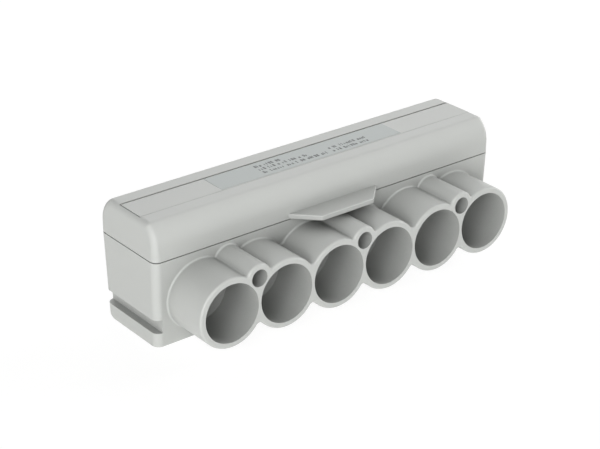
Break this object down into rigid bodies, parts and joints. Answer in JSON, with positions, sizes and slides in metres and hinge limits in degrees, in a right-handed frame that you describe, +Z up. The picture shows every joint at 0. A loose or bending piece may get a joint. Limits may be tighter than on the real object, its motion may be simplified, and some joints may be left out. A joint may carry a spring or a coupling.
{
  "type": "power distribution block",
  "caption": "Insulated power distribution block: a row of round cable entries and probe sockets in front of a clamp bar, under a hinged cover with a lift tab.",
  "frame": {"origin": "middle of the housing's footprint, on the plane that it stands on", "axes": "+X along the row of entries, -Y towards the cable side, +Z up"},
  "size_m": [0.1262, 0.0458, 0.0383],
  "materials": {
    "housing_plastic": "fine spark-eroded mould texture, light grey",
    "label_film": "satin adhesive film",
    "bar_metal": "tin-plated, satin",
    "screw_steel": "zinc-plated, turned",
    "pin_steel": "drawn wire"
  },
  "bodies": {
    "housing": {"housing": "housing_plastic", "terminal_bar": "bar_metal", "bar_screw_left": "screw_steel", "bar_screw_right": "screw_steel", "hinge_pin_left": "pin_steel", "hinge_pin_right": "pin_steel"},
    "cover": {"cover": "housing_plastic", "marker_strip": "housing_plastic", "rating_label": "label_film"},
    "clamp_screw_1_front": {"clamp_screw_1_front": "screw_steel"},
    "clamp_screw_1_rear": {"clamp_screw_1_rear": "screw_steel"},
    "clamp_screw_2_front": {"clamp_screw_2_front": "screw_steel"},
    "clamp_screw_2_rear": {"clamp_screw_2_rear": "screw_steel"},
    "clamp_screw_3_front": {"clamp_screw_3_front": "screw_steel"},
    "clamp_screw_3_rear": {"clamp_screw_3_rear": "screw_steel"},
    "clamp_screw_4_front": {"clamp_screw_4_front": "screw_steel"},
    "clamp_screw_4_rear": {"clamp_screw_4_rear": "screw_steel"},
    "clamp_screw_5_front": {"clamp_screw_5_front": "screw_steel"},
    "clamp_screw_5_rear": {"clamp_screw_5_rear": "screw_steel"},
    "clamp_screw_6_front": {"clamp_screw_6_front": "screw_steel"},
    "clamp_screw_6_rear": {"clamp_screw_6_rear": "screw_steel"}
  },
  "joints": [
    {"name": "cover_hinge", "type": "hinge", "parent": "housing", "child": "cover", "pos_m": [0, 0.0149, 0.02705], "axis": [-1, 0, 0], "range_deg": [0, 110]},
    {"name": "clamp_screw_1_front_travel", "type": "slide", "parent": "housing", "child": "clamp_screw_1_front", "axis": [0, 0, 1], "range_m": [-0.0093, 0.0045]},
    {"name": "clamp_screw_1_rear_travel", "type": "slide", "parent": "housing", "child": "clamp_screw_1_rear", "axis": [0, 0, 1], "range_m": [-0.0093, 0.0045]},
    {"name": "clamp_screw_2_front_travel", "type": "slide", "parent": "housing", "child": "clamp_screw_2_front", "axis": [0, 0, 1], "range_m": [-0.0093, 0.0045]},
    {"name": "clamp_screw_2_rear_travel", "type": "slide", "parent": "housing", "child": "clamp_screw_2_rear", "axis": [0, 0, 1], "range_m": [-0.0093, 0.0045]},
    {"name": "clamp_screw_3_front_travel", "type": "slide", "parent": "housing", "child": "clamp_screw_3_front", "axis": [0, 0, 1], "range_m": [-0.0093, 0.0045]},
    {"name": "clamp_screw_3_rear_travel", "type": "slide", "parent": "housing", "child": "clamp_screw_3_rear", "axis": [0, 0, 1], "range_m": [-0.0093, 0.0045]},
    {"name": "clamp_screw_4_front_travel", "type": "slide", "parent": "housing", "child": "clamp_screw_4_front", "axis": [0, 0, 1], "range_m": [-0.0093, 0.0045]},
    {"name": "clamp_screw_4_rear_travel", "type": "slide", "parent": "housing", "child": "clamp_screw_4_rear", "axis": [0, 0, 1], "range_m": [-0.0093, 0.0045]},
    {"name": "clamp_screw_5_front_travel", "type": "slide", "parent": "housing", "child": "clamp_screw_5_front", "axis": [0, 0, 1], "range_m": [-0.0093, 0.0045]},
    {"name": "clamp_screw_5_rear_travel", "type": "slide", "parent": "housing", "child": "clamp_screw_5_rear", "axis": [0, 0, 1], "range_m": [-0.0093, 0.0045]},
    {"name": "clamp_screw_6_front_travel", "type": "slide", "parent": "housing", "child": "clamp_screw_6_front", "axis": [0, 0, 1], "range_m": [-0.0093, 0.0045]},
    {"name": "clamp_screw_6_rear_travel", "type": "slide", "parent": "housing", "child": "clamp_screw_6_rear", "axis": [0, 0, 1], "range_m": [-0.0093, 0.0045]}
  ]
}
